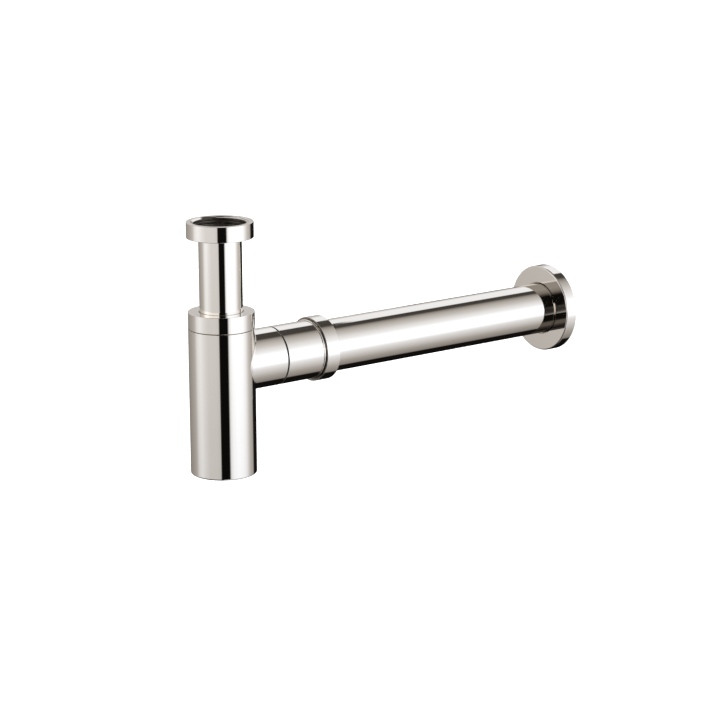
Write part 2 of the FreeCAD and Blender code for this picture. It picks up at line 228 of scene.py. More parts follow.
# Noise mostly stays in this middle part of its range.
NOISE_LOW = 0.3
NOISE_HIGH = 0.7


# ---- places taken from the model ----------------------------------------

bodies = frame["record"]["behaviour"]["bodies"]
slots = {part["node"]: part["material_slot"] for part in frame["record"]["subparts"]}
inlet_mount = next(mount for mount in frame["record"]["mounts"] if mount["name"] == "basin_inlet")
thread_bore = inlet_mount["dims"]["r_mm"] * MM
thread_length = inlet_mount["dims"]["length_mm"] * MM


def reach(node, axis):
    """Lowest and highest place of a node along an axis, 0 to 2."""
    low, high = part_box(node)
    return low[axis], high[axis]


def radius_of(node):
    """Outer radius of a round node, half its extent along X."""
    low, high = reach(node, 0)
    return (high - low) / 2


outlet_z = sum(reach("outlet_pipe", 2)) / 2
bottle_radius = radius_of("bottle_shell")
branch_radius = radius_of("branch_stub")


# ---- turned shapes ------------------------------------------------------

def rounded_section(points):
    """Half section of a turned piece, as radius, along and dressed-or-not for each point.

    points are (radius, along, rounding[, rows]) anticlockwise. A corner whose sides
    meet at the angle 2a is replaced by the arc that touches both: its centre lies
    rounding / sin(a) along the bisector, and its points are the spherical mean
    (sin((1-k)w) first + sin(k w) last) / sin(w) with w = pi - 2a. Guard points beside
    every arc keep the flat runs flat. rows are places along the run after the corner
    that get a point too; those points are the dressed ones, into which a thread or a
    window may be cut.
    """
    spot = np.array([point[:2] for point in points], float)
    rounding = np.array([max(point[2], HAIRLINE) for point in points])
    back = np.roll(spot, 1, axis=0) - spot
    ahead = np.roll(spot, -1, axis=0) - spot
    back /= np.linalg.norm(back, axis=1)[:, None]
    ahead /= np.linalg.norm(ahead, axis=1)[:, None]
    half = np.arccos(np.clip((back * ahead).sum(1), -1, 1)) / 2
    bisector = (back + ahead) / np.linalg.norm(back + ahead, axis=1)[:, None]
    start = spot + back * (rounding / np.tan(half))[:, None]
    end = spot + ahead * (rounding / np.tan(half))[:, None]
    centre = spot + bisector * (rounding / np.sin(half))[:, None]
    sweep = math.pi - 2 * half
    share = np.linspace(0, 1, ARC_STEPS + 1)[:, None]
    runs = []
    marks = []
    for index, point in enumerate(points):
        first = start[index] - centre[index]
        last = end[index] - centre[index]
        angle = sweep[index]
        mean = np.sin((1 - share) * angle) * first + np.sin(share * angle) * last
        runs.append(centre[index] + mean / math.sin(angle))
        marks.append(np.zeros(ARC_STEPS + 1))
        run = start[(index + 1) % len(points)] - end[index]
        guard = min(GUARD / np.linalg.norm(run), GUARD_SHARE)
        rows = np.array([])
        if len(point) > 3:
            rows = np.sort((np.array(point[3]) - end[index][1]) / run[1])
        rows = rows[(rows > ROW_CLEARANCE * guard) & (rows < 1 - ROW_CLEARANCE * guard)]
        along = np.concatenate([[guard], rows, [1 - guard]])
        runs.append(end[index] + along[:, None] * run)
        marks.append(np.concatenate([[0], np.ones(len(rows)), [0]]))
    line = np.concatenate(runs)
    return line[:, 0], line[:, 1], np.concatenate(marks) > 0


def mesh_object(name, points, faces, bore_cut_and_shade=None):
    """A smooth-shaded object from an array of points and an array of four-sided faces.

    The last argument, one number a point, is 1 on the surfaces inside a hole, which no buffing
    wheel reaches, and is kept as the mesh's own attribute for its finish: rough, with painted shade.
    """
    mesh = bpy.data.meshes.new(name)
    mesh.vertices.add(len(points))
    mesh.vertices.foreach_set("co", points.astype(np.float32).ravel())
    mesh.loops.add(faces.size)
    mesh.loops.foreach_set("vertex_index", faces.astype(np.int32).ravel())
    mesh.polygons.add(len(faces))
    mesh.polygons.foreach_set("loop_start", np.arange(0, faces.size, 4, dtype=np.int32))
    mesh.polygons.foreach_set("use_smooth", np.ones(len(faces), bool))
    mesh.update(calc_edges=True)
    if bore_cut_and_shade is not None:
        inside = mesh.attributes.new("bore_cut_and_shade", "FLOAT", "POINT")
        inside.data.foreach_set("value", bore_cut_and_shade.astype(np.float32))
    piece = bpy.data.objects.new(name, mesh)
    bpy.context.scene.collection.objects.link(piece)
    return piece


def ring_faces(rows, columns):
    """Faces of a grid that closes on itself both ways, as an array [row, column, corner]."""
    row = np.arange(rows)[:, None]
    column = np.arange(columns)[None, :]
    below = (row + 1) % rows
    right = (column + 1) % columns
    return np.stack([row * columns + column, row * columns + right,
                     below * columns + right, below * columns + column], axis=-1)


def faces_axis(radius, along):
    """1 for section points whose outward normal looks at the axis, else 0.

    The normal is the chord between both neighbours turned by a quarter turn.
    """
    chord_r = np.roll(radius, -1) - np.roll(radius, 1)
    chord_a = np.roll(along, -1) - np.roll(along, 1)
    return (chord_a < -BORE_SLOPE * np.hypot(chord_r, chord_a)).astype(float)


def turn_angles():
    """Angles of the steps round a turned piece."""
    return np.linspace(0, 2 * math.pi, TURN_STEPS, endpoint=False)[None, :]


def about_inlet(radius, t, along):
    """Points (r cos t, r sin t, along) round the inlet's axis."""
    radius, t, along = np.broadcast_arrays(radius, t, along)
    return np.stack([radius * np.cos(t), radius * np.sin(t), along], axis=-1)


def about_outlet(radius, t, along):
    """Points (r sin t, along, outlet height + r cos t) round the outlet's axis."""
    radius, t, along = np.broadcast_arrays(radius, t, along)
    return np.stack([radius * np.sin(t), along, outlet_z + radius * np.cos(t)], axis=-1)


def turned(name, place, points, thread=None, saddle=None, cut_and_shaded_end=None):
    """A piece turned from its half section: the section is carried round a full circle.

    thread(radius, along, t) gives the dressed points their radius, and
    saddle(radius, along, t) gives every point its place along the axis.
    The flat end named last is left rough as cut like a bore, and gets the same painted shade.
    """
    radius, along, dressed = rounded_section(points)
    bore_cut_and_shade = faces_axis(radius, along)
    # bore surfaces and the cut end get the nickel's rough finish and its painted shade, a darker
    # colour
    if cut_and_shaded_end is not None:
        bore_cut_and_shade = np.maximum(bore_cut_and_shade, np.abs(along - cut_and_shaded_end) < SAME_PLACE)
    bore_cut_and_shade = np.repeat(bore_cut_and_shade, TURN_STEPS)
    t = turn_angles()
    radius = np.repeat(radius[:, None], TURN_STEPS, axis=1)
    along = np.repeat(along[:, None], TURN_STEPS, axis=1)
    if thread:
        radius = np.where(dressed[:, None], thread(radius, along, t), radius)
    if saddle:
        along = saddle(radius, along, t)
    grid = place(radius, t, along)
    return mesh_object(name, grid.reshape(-1, 3), ring_faces(*grid.shape[:2]).reshape(-1, 4), bore_cut_and_shade)


def thread_wave(along, t, pitch):
    """Rounded thread, 0 on the crest and 1 in the root: half of 1 - cos(2 pi along / pitch - t)."""
    return 0.5 - 0.5 * np.cos(2 * math.pi * along / pitch - t)


def run_out(along, start, end, width):
    """1 between start and end, falling smoothly to 0 over width inside each of them."""
    near = np.clip((along - start) / width, 0, 1) * np.clip((end - along) / width, 0, 1)
    return near * near * (3 - 2 * near)


def nut_thread(start, end, fade, depth):
    """A nut's thread from start to end: radius + depth * wave, faded out at both ends."""
    def thread(radius, along, t):
        wave = thread_wave(along, t, NUT_PITCH) * run_out(along, start, end, fade)
        return radius + depth * wave

    return thread


def ring_section(inner, outer, start, end, edge):
    """Half section of a plain ring with all four edges rounded alike."""
    return [(inner, start, edge), (outer, start, edge), (outer, end, edge), (inner, end, edge)]


# ---- inlet side ---------------------------------------------------------

def union_nut():
    """Union nut: lip under the tube's flange, a relief, the thread and a bevelled mouth.

    The thread's radius is minor + depth * wave, and on the bevel the larger of
    that and the bevel's own radius, so the grooves run out through the mouth.
    """
    bottom, top = reach("union_nut", 2)
    outer = radius_of("union_nut")
    undercut = thread_bore + UNION_RELIEF
    mouth = thread_bore + UNION_MOUTH_BEVEL
    rows = np.linspace(top, 0, UNION_THREAD_ROWS)

    def thread(radius, along, t):
        groove = thread_bore + UNION_THREAD_DEPTH * thread_wave(along, t, UNION_PITCH)
        fade = np.clip(along / (UNION_RUN_OUT * UNION_PITCH), 0, 1)
        groove = thread_bore + (groove - thread_bore) * fade
        return np.maximum(radius, groove)

    return turned("union_nut_finished", about_inlet, [
        (LOOSE_HOLE_ROUND_INLET, bottom, FINE_EDGE),
        (outer, bottom, NUT_EDGE),
        (outer, top, NUT_EDGE),
        (mouth, top, BEVEL_EDGE, rows),
        (thread_bore, thread_length, BEVEL_EDGE, rows),
        (thread_bore, 0.0, 0),
        (undercut, 0.0, 0),
        (undercut, UNION_SEAT, 0),
        (LOOSE_HOLE_ROUND_INLET, UNION_SEAT, 0),
    ], thread=thread)


def union_gasket():
    """Flat rubber ring with softly rounded edges."""
    bottom, top = reach("union_gasket", 2)
    section = ring_section(INLET_BORE, radius_of("union_gasket"), bottom, top, SOFT_EDGE)
    return turned("union_gasket_finished", about_inlet, section)


def inlet_tube():
    """Thin tube, its top turned out into a flat flange."""
    bottom, top = reach("inlet_tube", 2)
    flange = radius_of("inlet_tube")
    return turned("inlet_tube_finished", about_inlet, [
        (INLET_BORE, bottom, CUT_EDGE),
        (INLET_RADIUS, bottom, FINE_EDGE),
        (INLET_RADIUS, top - INLET_FLANGE, SOFT_EDGE),
        (flange, top - INLET_FLANGE, SOFT_EDGE),
        (flange, top, SOFT_EDGE),
        (INLET_BORE, top, BLUNT_EDGE),
    ])


# ---- cap joint ----------------------------------------------------------

def cap_nut():
    """Cap nut: plain polished ring, threaded inside, with a lip round the inlet tube."""
    bottom, top = reach("cap_nut", 2)
    outer = radius_of("cap_nut")
    lip = top - CAP_LIP
    rows = np.linspace(lip, bottom, NUT_THREAD_ROWS)
    return turned("cap_nut_finished", about_inlet, [
        (CAP_BORE, bottom, CUT_EDGE),
        (outer, bottom, FINE_EDGE),
        (outer, top, NUT_EDGE),
        (LOOSE_HOLE_ROUND_INLET, top, FINE_EDGE),
        (LOOSE_HOLE_ROUND_INLET, lip, 0),
        (CAP_BORE, lip, 0, rows),
    ], thread=nut_thread(bottom, lip, CAP_RUN_OUT, NUT_THREAD_DEPTH))


def cap_seal():
    """Rubber ring with a tapered shoulder and soft edges."""
    bottom, top = reach("cap_seal", 2)
    outer = radius_of("cap_seal")
    inner = INLET_RADIUS + SEAL_PLAY
    return turned("cap_seal_finished", about_inlet, [
        (inner, bottom, SOFT_EDGE),
        (outer, bottom, SOFT_EDGE),
        (outer, top - SEAL_TAPER, BLUNT_EDGE),
        (outer - SEAL_TAPER, top, BLUNT_EDGE),
        (inner, top, SOFT_EDGE),
    ])


def neck_ring():
    """Brass neck: thread outside above the bottle's edge, recess with a ledge inside."""
    bottom, top = reach("neck_ring", 2)
    ledge = top - NECK_DEPTH
    edge = reach("bottle_shell", 2)[1]
    rows = np.linspace(edge, top, NUT_THREAD_ROWS)
    return turned("neck_ring_finished", about_inlet, [
        (NECK_BORE, bottom, SOFT_EDGE),
        (BOTTLE_BORE, bottom, SOFT_EDGE),
        (BOTTLE_BORE, edge, 0),
        (NECK_RIM, edge, 0, rows),
        (NECK_RIM, top, FINE_EDGE),
        (NECK_RECESS, top, FINE_EDGE),
        (NECK_RECESS, ledge, 0),
        (NECK_BORE, ledge, SOFT_EDGE),
    ], thread=nut_thread(edge, top, CAP_RUN_OUT, -NUT_THREAD_DEPTH))


# ---- bottle and branch --------------------------------------------------

def bottle_shell():
    """Bottle: a straight tube with a rounded foot and a window for the branch.

    The tube is the grid (R cos t, R sin t, z). In a window round the branch the
    grid is left out on both faces of the wall, and one band of rings is laid from
    the outer frame of the window to the hole, through the wall and out to the
    inner frame. A ring on a face is the frame's (t, z) moved by a share towards
    the hole's edge, whose point at angle f about the outlet axis is
    x = h cos f, z = outlet height + h sin f, y = sqrt(R^2 - x^2); mixing t and z
    and not x and y keeps every point on the cylinder.
    """
    bottom, top = reach("bottle_shell", 2)
    rows = outlet_z + np.linspace(-WINDOW_HALF_HEIGHT, WINDOW_HALF_HEIGHT, WINDOW_ROWS + 1)
    radius, along, dressed = rounded_section([
        (BOTTLE_BORE, bottom, 0),
        (bottle_radius, bottom, BOTTLE_FOOT_ROUND, rows),
        (bottle_radius, top, FINE_EDGE),
        (BOTTLE_BORE, top, 0, rows),
    ])
    t = turn_angles()
    grid = about_inlet(radius[:, None], t, along[:, None])
    faces = ring_faces(*grid.shape[:2])

    middle = TURN_STEPS // 4
    columns = np.arange(middle - WINDOW_COLUMNS, middle + WINDOW_COLUMNS + 1)
    places = np.flatnonzero(dressed)
    outer_rows = places[:WINDOW_ROWS + 1]
    inner_rows = places[WINDOW_ROWS + 1:]
    keep = np.ones(faces.shape[:2], bool)
    keep[outer_rows[0]:outer_rows[-1], columns[0]:columns[-1]] = False
    keep[inner_rows[0]:inner_rows[-1], columns[0]:columns[-1]] = False

    def frame_loop(window_rows):
        """Row and column of the window's frame, once round."""
        lower = [np.full(len(columns) - 1, window_rows[0]), columns[:-1]]
        right = [window_rows[:-1], np.full(WINDOW_ROWS, columns[-1])]
        upper = [np.full(len(columns) - 1, window_rows[-1]), columns[:0:-1]]
        left = [window_rows[:0:-1], np.full(WINDOW_ROWS, columns[0])]
        return np.concatenate([lower, right, upper, left], axis=1).astype(int)

    def face_rings(loop, wall_radius):
        """Rings from the frame to the hole on one face of the wall, both ends included."""
        turn = t[0, loop[1]] - math.pi / 2
        height = along[loop[0]] - outlet_z
        f = np.arctan2(height, wall_radius * np.sin(turn))
        hole_turn = np.arcsin(STUB_BORE * np.cos(f) / wall_radius)
        share = np.append(np.linspace(0, WINDOW_LAST_RING, WINDOW_RINGS), 1.0)[:, None]
        ring_turn = turn + share * (hole_turn - turn)
        ring_height = height + share * (STUB_BORE * np.sin(f) - height)
        return about_inlet(wall_radius, ring_turn + math.pi / 2, outlet_z + ring_height)

    outer_loop = frame_loop(outer_rows)
    inner_loop = frame_loop(inner_rows[::-1])
    outer_rings = face_rings(outer_loop, bottle_radius)
    inner_rings = face_rings(inner_loop, BOTTLE_BORE)
    band = np.concatenate([outer_rings[1:], inner_rings[:0:-1]])
    count = len(outer_loop[0])
    first = len(radius) * TURN_STEPS
    index = first + np.arange(band.shape[0] * count).reshape(band.shape[0], count)
    index = np.concatenate([[outer_loop[0] * TURN_STEPS + outer_loop[1]], index,
                            [inner_loop[0] * TURN_STEPS + inner_loop[1]]])
    following = np.roll(index, -1, axis=1)
    strip = np.stack([index[:-1], following[:-1], following[1:], index[1:]], axis=-1)

    inside = np.arange(len(band)) >= len(outer_rings) - 1
    # the bore's faces, on which the nickel is rough and painted darker as shade
    bore_cut_and_shade = np.concatenate([np.repeat(faces_axis(radius, along), TURN_STEPS),
                           np.repeat(inside, count)])
    points = np.concatenate([grid.reshape(-1, 3), band.reshape(-1, 3)])
    quads = np.concatenate([faces[keep], strip.reshape(-1, 4)])
    used, packed = np.unique(quads, return_inverse=True)
    return mesh_object("bottle_shell_finished", points[used], packed.reshape(-1, 4), bore_cut_and_shade[used])


def saddle_on_bottle(radius, t):
    """Where a line of the branch meets the bottle, along the outlet: sqrt(R^2 - (r sin t)^2)."""
    return np.sqrt(np.maximum(bottle_radius ** 2 - (radius * np.sin(t)) ** 2, 0))


def branch_stub():
    """Branch: a short tube whose near end follows the bottle, with a small fillet of braze.

    Every point keeps its radius. Its place along the outlet's axis moves by the
    saddle's depth, in full at the near end and not at all past the holding row.
    """
    end = reach("branch_stub", 1)[1] - SEAM_RELIEF
    start = bottle_radius
    hold = start + SADDLE_SHARE * (end - start)
    rows = np.linspace(start, hold, SADDLE_ROWS)

    def saddle(radius, along, t):
        share = np.clip((hold - along) / (hold - start), 0, 1)
        return along + share * (saddle_on_bottle(radius, t) - start)

    return turned("branch_stub_finished", about_outlet, [
        (STUB_BORE, start, 0),
        (branch_radius + BRAZE, start, 0),
        (branch_radius, start + BRAZE, BRAZE_ROUNDING, rows),
        (branch_radius, end, SEAM_EDGE),
        (STUB_BORE, end, FINE_EDGE, rows),
    ], saddle=saddle)


def branch_gasket():
    """Thin rubber ring in the seam round the branch."""
    start, end = reach("branch_gasket", 1)
    start -= SEAM_RELIEF
    end += SEAM_RELIEF - TURNING_GAP
    inner = SPIGOT_RADIUS + SEAM_RING_PLAY
    section = ring_section(inner, radius_of("branch_gasket"), start, end, BLUNT_EDGE)
    return turned("branch_gasket_finished", about_outlet, section)


def outlet_sleeve():
    """Sleeve: grooved spigot, polished barrel, low collar, thread and a tapered seat."""
    spigot_end, mouth = reach("outlet_sleeve", 1)
    outer = radius_of("outlet_sleeve")
    shoulder = reach("branch_gasket", 1)[1] + SEAM_RELIEF
    groove = sum(reach("branch_o_ring", 1)) / 2
    near = groove - O_RING_GROOVE_WIDTH / 2
    far = groove + O_RING_GROOVE_WIDTH / 2
    floor = SPIGOT_RADIUS - O_RING_GROOVE_DEPTH
    start = mouth - SLEEVE_THREAD_LENGTH
    collar_end = reach("outlet_nut", 1)[0] - COLLAR_GAP
    rows = np.linspace(start, mouth, NUT_THREAD_ROWS)
    return turned("outlet_sleeve_finished", about_outlet, [
        (SPIGOT_BORE, spigot_end, 0),
        (SPIGOT_RADIUS, spigot_end, FINE_EDGE),
        (SPIGOT_RADIUS, near, 0),
        (floor, near, 0),
        (floor, far, 0),
        (SPIGOT_RADIUS, far, 0),
        (SPIGOT_RADIUS, shoulder, 0),
        (outer, shoulder, SEAM_EDGE),
        (outer, collar_end - COLLAR_WIDTH - COLLAR_SLOPE, COLLAR_EDGE),
        (outer + COLLAR_HEIGHT, collar_end - COLLAR_WIDTH, COLLAR_EDGE),
        (outer + COLLAR_HEIGHT, collar_end, COLLAR_EDGE),
        (outer, collar_end, 0, rows),
        (outer, mouth, CUT_EDGE),
        (SLEEVE_SEAT_RADIUS, mouth, 0),
        (SLEEVE_BORE, mouth - SLEEVE_SEAT_DEPTH, 0),
        (SLEEVE_BORE, PIPE_STOP, 0),
        (SPIGOT_BORE, PIPE_STOP, 0),
    ], thread=nut_thread(start, mouth, OUTLET_RUN_OUT, -NUT_THREAD_DEPTH))


# ---- outlet joint -------------------------------------------------------

def outlet_nut():
    """Outlet nut: plain polished ring, threaded inside, with a lip round the pipe."""
    start, end = reach("outlet_nut", 1)
    outer = radius_of("outlet_nut")
    lip = end - OUTLET_NUT_LIP
    first = start + OUTLET_NUT_LEAD
    rows = np.linspace(first, lip, NUT_THREAD_ROWS)
    # its near end, in the gap by the sleeve, is rough as cut and painted darker as shade
    return turned("outlet_nut_finished", about_outlet, [
        (OUTLET_NUT_BORE + OUTLET_NUT_LEAD, start, 0),
        (outer, start, NUT_EDGE),
        (outer, end, NUT_EDGE),
        (LOOSE_HOLE_ROUND_PIPE, end, FINE_EDGE),
        (LOOSE_HOLE_ROUND_PIPE, lip, 0),
        (OUTLET_NUT_BORE, lip, 0, rows),
        (OUTLET_NUT_BORE, first, 0),
    ], thread=nut_thread(first, lip, OUTLET_RUN_OUT, NUT_THREAD_DEPTH), cut_and_shaded_end=start)


def outlet_seal():
    """Rubber ring whose nose follows the sleeve's tapered seat."""
    start, end = reach("outlet_seal", 1)
    outer = radius_of("outlet_seal")
    inner = PIPE_RADIUS + SEAL_PLAY
    slope = (SLEEVE_SEAT_RADIUS - SLEEVE_BORE) / SLEEVE_SEAT_DEPTH
    return turned("outlet_seal_finished", about_outlet, [
        (inner, start, 0),
        (outer - OUTLET_SEAL_NOSE * slope, start, 0),
        (outer, start + OUTLET_SEAL_NOSE, SOFT_EDGE),
        (outer, end, SOFT_EDGE),
        (inner, end, SOFT_EDGE),
    ])


def outlet_pipe():
    """Straight pipe, its far end sized down a little behind the wall face."""
    start, end = reach("outlet_pipe", 1)
    wall = reach("wall_flange", 1)[1]
    return turned("outlet_pipe_finished", about_outlet, [
        (PIPE_BORE, start, CUT_EDGE),
        (PIPE_RADIUS, start, FINE_EDGE),
        (PIPE_RADIUS, wall, 0),
        (PIPE_SIZED_RADIUS, wall, 0),
        (PIPE_SIZED_RADIUS, end, FINE_EDGE),
        (PIPE_BORE, end, SOFT_EDGE),
    ])


# ---- wall flange --------------------------------------------------------

def wall_flange():
    """Flange: polished dish with a rounded rim, hollow behind, its hub grooved for the O-ring."""
    front, back = reach("wall_flange", 1)
    outer = radius_of("wall_flange")
    pocket = front + FLANGE_FRONT_WALL
    groove = sum(reach("flange_o_ring", 1)) / 2
    near = groove - FLANGE_GROOVE_HALF
    far = groove + FLANGE_GROOVE_HALF
    return turned("wall_flange_finished", about_outlet, [
        (LOOSE_HOLE_ROUND_PIPE + FLANGE_HOLE_BEVEL, front, BEVEL_EDGE),
        (outer, front, FLANGE_EDGE),
        (outer, back, FINE_EDGE),
        (FLANGE_RIM_BORE, back, 0),
        (FLANGE_RIM_BORE, pocket, BLUNT_EDGE),
        (FLANGE_HUB, pocket, BLUNT_EDGE),
        (FLANGE_HUB, back, 0),
        (LOOSE_HOLE_ROUND_PIPE, back, 0),
        (LOOSE_HOLE_ROUND_PIPE, far, 0),
        (FLANGE_GROOVE_RADIUS, far, 0),
        (FLANGE_GROOVE_RADIUS, near, 0),
        (LOOSE_HOLE_ROUND_PIPE, near, 0),
        (LOOSE_HOLE_ROUND_PIPE, front + FLANGE_HOLE_BEVEL, 0),
    ])


# ---- finishes -----------------------------------------------------------

def new_material(name, colour, roughness, metallic=0.0):
    """A material with its even values on the shader's own sockets."""
    material = bpy.data.materials.new(name)
    material.use_nodes = True
    tree = material.node_tree
    shader = tree.nodes["Principled BSDF"]
    shader.inputs["Base Color"].default_value = (*colour, 1)
    shader.inputs["Roughness"].default_value = roughness
    shader.inputs["Metallic"].default_value = metallic
    return material, tree, shader


def noise(tree, scale, detail, stretch=(1, 1, 1)):
    """Noise over the piece's own coordinates, stretched along its axes."""
    place = tree.nodes.new("ShaderNodeTexCoord")
    mapping = tree.nodes.new("ShaderNodeMapping")
    mapping.inputs["Scale"].default_value = stretch
    texture = tree.nodes.new("ShaderNodeTexNoise")
    texture.inputs["Scale"].default_value = scale
    texture.inputs["Detail"].default_value = detail
    tree.links.new(place.outputs["Object"], mapping.inputs["Vector"])
    tree.links.new(mapping.outputs["Vector"], texture.inputs["Vector"])
    return texture.outputs["Fac"]


def between(tree, value, low, high):
    """A number from low to high, as a noise goes through its middle range."""
    node = tree.nodes.new("ShaderNodeMapRange")
    node.inputs["From Min"].default_value = NOISE_LOW
    node.inputs["From Max"].default_value = NOISE_HIGH
    node.inputs["To Min"].default_value = low
    node.inputs["To Max"].default_value = high
    tree.links.new(value, node.inputs["Value"])
    return node.outputs["Result"]


def tint(tree, value, low, high):
    """A colour from low to high, as a noise goes through its middle range."""
    ramp = tree.nodes.new("ShaderNodeValToRGB")
    ramp.color_ramp.elements[0].position = NOISE_LOW
    ramp.color_ramp.elements[0].color = (*low, 1)
    ramp.color_ramp.elements[1].position = NOISE_HIGH
    ramp.color_ramp.elements[1].color = (*high, 1)
    tree.links.new(value, ramp.inputs["Fac"])
    return ramp.outputs["Color"]


def relief(tree, shader, value, depth, strength):
    """A bump of the given depth in metres."""
    bump = tree.nodes.new("ShaderNodeBump")
    bump.inputs["Distance"].default_value = depth
    bump.inputs["Strength"].default_value = strength
    tree.links.new(value, bump.inputs["Height"])
    tree.links.new(bump.outputs["Normal"], shader.inputs["Normal"])


def mixed(tree, share, low, high, kind):
    """low where share is 0 and high where it is 1; kind is FLOAT or RGBA."""
    node = tree.nodes.new("ShaderNodeMix")
    node.data_type = kind
    ends = {"FLOAT": ("A_Float", "B_Float"), "RGBA": ("A_Color", "B_Color")}
    sockets = {socket.identifier: socket for socket in node.inputs}
    for name, value in zip(("Factor_Float", *ends[kind]), (share, low, high)):
        if isinstance(value, (float, tuple)):
            sockets[name].default_value = value
        else:
            tree.links.new(value, sockets[name])
    return next(socket for socket in node.outputs if socket.enabled)


def polished_nickel():
    """Mirror-polished nickel plate, rough inside the bores and painted dark there as shade.

    Outside it is a warm white mirror, hazed a little unevenly by the buffing wheel.
    Inside a bore the plate is thin and rough as cut; its darker colour there is painted shade.
    """
    material, tree, shader = new_material(
        "polished_nickel_finish", (0.80, 0.76, 0.71), roughness=0.05, metallic=1.0)
    bore_cut_and_shade = tree.nodes.new("ShaderNodeAttribute")
    bore_cut_and_shade.attribute_name = "bore_cut_and_shade"
    haze = between(tree, noise(tree, 55, 4), 0.025, 0.055)
    cut = between(tree, noise(tree, 700, 3), 0.30, 0.46)
    tree.links.new(mixed(tree, bore_cut_and_shade.outputs["Fac"], haze, cut, "FLOAT"), shader.inputs["Roughness"])
    cloud = tint(tree, noise(tree, 18, 3), (0.79, 0.75, 0.70), (0.81, 0.77, 0.72))
    # painted shade: inside the bores the colour is darkened to stand for the shade that falls there
    painted_bore_shade = tint(tree, noise(tree, 140, 4), (0.20, 0.18, 0.155), (0.30, 0.275, 0.24))
    tree.links.new(mixed(tree, bore_cut_and_shade.outputs["Fac"], cloud, painted_bore_shade, "RGBA"), shader.inputs["Base Color"])
    relief(tree, shader, noise(tree, 420, 2), depth=0.000002, strength=0.25)
    return material


def turned_brass():
    """Tarnished brass with the tool's fine rings."""
    material, tree, shader = new_material(
        "turned_brass_finish", (0.38, 0.31, 0.20), roughness=0.28, metallic=1.0)
    grain = noise(tree, 900, 3, stretch=(1, 1, 12))
    tree.links.new(between(tree, grain, 0.22, 0.40), shader.inputs["Roughness"])
    tarnish = tint(tree, noise(tree, 60, 4), (0.32, 0.26, 0.17), (0.44, 0.36, 0.24))
    tree.links.new(tarnish, shader.inputs["Base Color"])
    relief(tree, shader, grain, depth=0.00002, strength=0.3)
    return material


def black_rubber():
    """Moulded black rubber with a dusty, slightly grained skin."""
    material, tree, shader = new_material(
        "black_rubber_finish", (0.02, 0.02, 0.021), roughness=0.6)
    shader.inputs["Specular IOR Level"].default_value = 0.25
    skin = noise(tree, 1400, 4)
    tree.links.new(between(tree, skin, 0.5, 0.72), shader.inputs["Roughness"])
    dust = tint(tree, noise(tree, 90, 5), (0.013, 0.013, 0.014), (0.032, 0.031, 0.030))
    tree.links.new(dust, shader.inputs["Base Color"])
    relief(tree, shader, skin, depth=0.00003, strength=0.35)
    return material


def white_nylon():
    """Natural nylon: milky white, faintly mottled."""
    material, tree, shader = new_material(
        "white_nylon_finish", (0.80, 0.79, 0.75), roughness=0.42)
    mottle = tint(tree, noise(tree, 160, 4), (0.76, 0.75, 0.70), (0.84, 0.83, 0.80))
    tree.links.new(mottle, shader.inputs["Base Color"])
    skin = noise(tree, 1100, 3)
    tree.links.new(between(tree, skin, 0.36, 0.50), shader.inputs["Roughness"])
    relief(tree, shader, skin, depth=0.00002, strength=0.25)
    return material


def grey_polypropylene():
    """Moulded grey polypropylene with a waxy skin and faint flow marks along its length."""
    material, tree, shader = new_material(
        "grey_polypropylene_finish", (0.33, 0.34, 0.35), roughness=0.45)
    marks = noise(tree, 120, 4, stretch=(1, 1, 0.15))
    flow = tint(tree, marks, (0.30, 0.31, 0.32), (0.37, 0.38, 0.39))
    tree.links.new(flow, shader.inputs["Base Color"])
    skin = noise(tree, 900, 3)
    tree.links.new(between(tree, skin, 0.38, 0.54), shader.inputs["Roughness"])
    relief(tree, shader, skin, depth=0.00002, strength=0.3)
    return material


finishes = {
    "polished_nickel": polished_nickel(),
    "turned_brass": turned_brass(),
    "black_rubber": black_rubber(),
    "white_nylon": white_nylon(),
    "grey_polypropylene": grey_polypropylene(),
}


# ---- the trap -----------------------------------------------------------

turned_pieces = {
    "union_nut": union_nut,
    "union_gasket": union_gasket,
    "inlet_tube": inlet_tube,
    "cap_nut": cap_nut,
    "cap_seal": cap_seal,
    "neck_ring": neck_ring,
    "bottle_shell": bottle_shell,
    "branch_stub": branch_stub,
    "branch_gasket": branch_gasket,
    "outlet_sleeve": outlet_sleeve,
    "outlet_nut": outlet_nut,
    "outlet_seal": outlet_seal,
    "outlet_pipe": outlet_pipe,
    "wall_flange": wall_flange,
}

for node, make in turned_pieces.items():
    piece = make()
    piece.data.materials.append(finishes[slots[node]])
    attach(piece, next(body for body, members in bodies.items() if node in members))
    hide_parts(node)

for node, kept in frame["nodes"].items():
    if node not in turned_pieces:
        kept.data.materials.clear()
        kept.data.materials.append(finishes[slots[node]])


# ---- studio -------------------------------------------------------------

def math_node(tree, operation, *values):
    """A Math node; a value is a number or another node's output."""
    node = tree.nodes.new("ShaderNodeMath")
    node.operation = operation
    for socket, value in zip(node.inputs, values):
        if isinstance(value, (int, float)):
            socket.default_value = value
        else:
            tree.links.new(value, socket)
    return node.outputs["Value"]


def smooth_step(tree, value, low, high):
    """0 at low and 1 at high, smooth between; low may be the larger of the two."""
    node = tree.nodes.new("ShaderNodeMapRange")
    node.interpolation_type = "SMOOTHSTEP"
    node.inputs["From Min"].default_value = min(low, high)
    node.inputs["From Max"].default_value = max(low, high)
    node.inputs["To Min"].default_value = float(low > high)
    node.inputs["To Max"].default_value = float(low < high)
    tree.links.new(value, node.inputs["Value"])
    return node.outputs["Result"]


